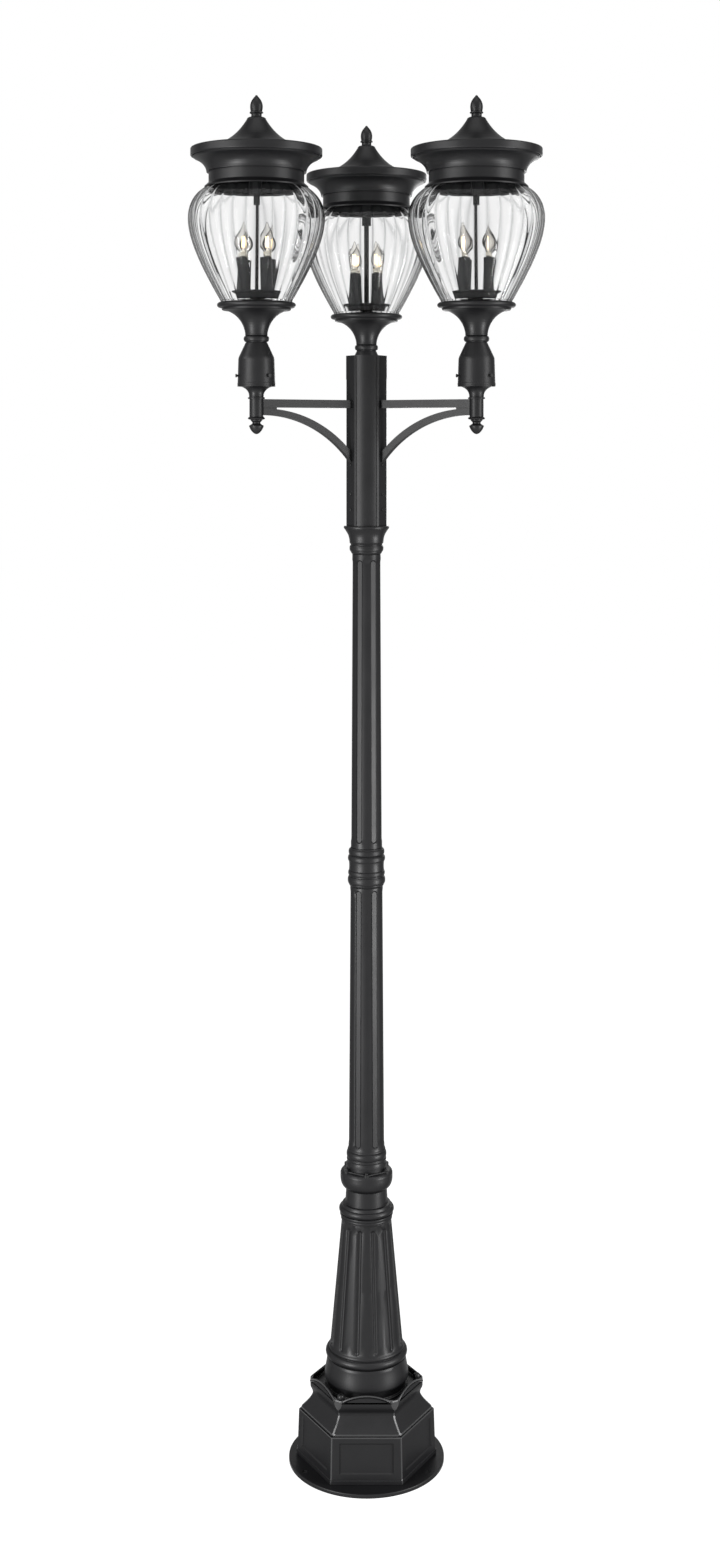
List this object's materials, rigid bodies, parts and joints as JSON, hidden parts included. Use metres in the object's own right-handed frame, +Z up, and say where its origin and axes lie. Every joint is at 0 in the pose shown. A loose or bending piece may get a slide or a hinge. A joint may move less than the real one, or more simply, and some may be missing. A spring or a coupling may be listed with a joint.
{
  "type": "outdoor post light",
  "caption": "Tall outdoor post light: a fluted post on a hexagonal base carries urn lanterns with ribbed glass on curved arms.",
  "frame": {"origin": "centre of the anchor plate's underside, on the post's axis", "axes": "+Z up along the post, the front is -Y, the rear arm points to +Y and the front arms 120 degrees from it to each side"},
  "size_m": [0.7778, 0.7136, 3.0372],
  "materials": {
    "black_casting": "satin black powder coat over cast aluminium",
    "black_tube": "satin black powder coat over square steel tube",
    "black_steel": "satin black powder coat over steel plate",
    "black_screw": "black coated steel",
    "galvanised_steel": "galvanised steel pipe",
    "cable_rubber": "matt",
    "wire_nut_plastic": "moulded plastic",
    "candle_sleeve": "black moulded sleeve",
    "bulb_glass": "clear flame-tip bulb",
    "clear_glass": "clear glass with vertical ribs"
  },
  "bodies": {
    "post": {"anchor_plate": "black_steel", "hex_base": "black_casting", "base_shroud": "black_casting", "base_screws": "black_screw", "pedestal": "black_casting", "pedestal_collar": "black_casting", "collar_screws": "black_screw", "lower_shaft": "black_casting", "shaft_coupling": "black_casting", "upper_shaft": "black_casting", "capital": "black_casting", "head_tube": "black_casting", "head_cap": "black_casting", "head_screws": "black_screw", "core_pipe": "galvanised_steel", "supply_cable": "cable_rubber", "wire_nuts": "wire_nut_plastic", "arm_leads": "cable_rubber", "arm_bar_left": "black_tube", "arm_bar_right": "black_tube", "arm_bar_rear": "black_tube", "arm_brace_left": "black_tube", "arm_brace_right": "black_tube", "arm_brace_rear": "black_tube", "arm_socket_left": "black_casting", "arm_socket_right": "black_casting", "arm_socket_rear": "black_casting", "arm_drop_left": "black_casting", "arm_drop_right": "black_casting", "arm_drop_rear": "black_casting"},
    "lantern_left": {"fitter_left": "black_casting", "fitter_screws_left": "black_screw", "pan_left": "black_casting", "candle_plate_left": "black_casting", "candles_left": "candle_sleeve", "bulbs_left": "bulb_glass", "tie_rod_left": "black_screw", "glass_left": "clear_glass"},
    "roof_left": {"roof_left": "black_casting"},
    "finial_left": {"finial_left": "black_casting"},
    "lantern_right": {"fitter_right": "black_casting", "fitter_screws_right": "black_screw", "pan_right": "black_casting", "candle_plate_right": "black_casting", "candles_right": "candle_sleeve", "bulbs_right": "bulb_glass", "tie_rod_right": "black_screw", "glass_right": "clear_glass"},
    "roof_right": {"roof_right": "black_casting"},
    "finial_right": {"finial_right": "black_casting"},
    "lantern_rear": {"fitter_rear": "black_casting", "fitter_screws_rear": "black_screw", "pan_rear": "black_casting", "candle_plate_rear": "black_casting", "candles_rear": "candle_sleeve", "bulbs_rear": "bulb_glass", "tie_rod_rear": "black_screw", "glass_rear": "clear_glass"},
    "roof_rear": {"roof_rear": "black_casting"},
    "finial_rear": {"finial_rear": "black_casting"}
  },
  "joints": [
    {"name": "lantern_swivel_left", "type": "hinge", "parent": "post", "child": "lantern_left", "pos_m": [-0.23963, -0.13835, 2.4053], "axis": [0, 0, 1], "range_deg": [-180, 180]},
    {"name": "roof_lift_left", "type": "slide", "parent": "lantern_left", "child": "roof_left", "axis": [0, 0, 1], "range_m": [0, 0.2]},
    {"name": "finial_turn_left", "type": "hinge", "parent": "roof_left", "child": "finial_left", "pos_m": [-0.23963, -0.13835, 2.9892], "axis": [0, 0, 1], "continuous": true},
    {"name": "lantern_swivel_right", "type": "hinge", "parent": "post", "child": "lantern_right", "pos_m": [0.23963, -0.13835, 2.4053], "axis": [0, 0, 1], "range_deg": [-180, 180]},
    {"name": "roof_lift_right", "type": "slide", "parent": "lantern_right", "child": "roof_right", "axis": [0, 0, 1], "range_m": [0, 0.2]},
    {"name": "finial_turn_right", "type": "hinge", "parent": "roof_right", "child": "finial_right", "pos_m": [0.23963, -0.13835, 2.9892], "axis": [0, 0, 1], "continuous": true},
    {"name": "lantern_swivel_rear", "type": "hinge", "parent": "post", "child": "lantern_rear", "pos_m": [0, 0.2767, 2.4053], "axis": [0, 0, 1], "range_deg": [-180, 180]},
    {"name": "roof_lift_rear", "type": "slide", "parent": "lantern_rear", "child": "roof_rear", "axis": [0, 0, 1], "range_m": [0, 0.2]},
    {"name": "finial_turn_rear", "type": "hinge", "parent": "roof_rear", "child": "finial_rear", "pos_m": [0, 0.2767, 2.9892], "axis": [0, 0, 1], "continuous": true}
  ]
}
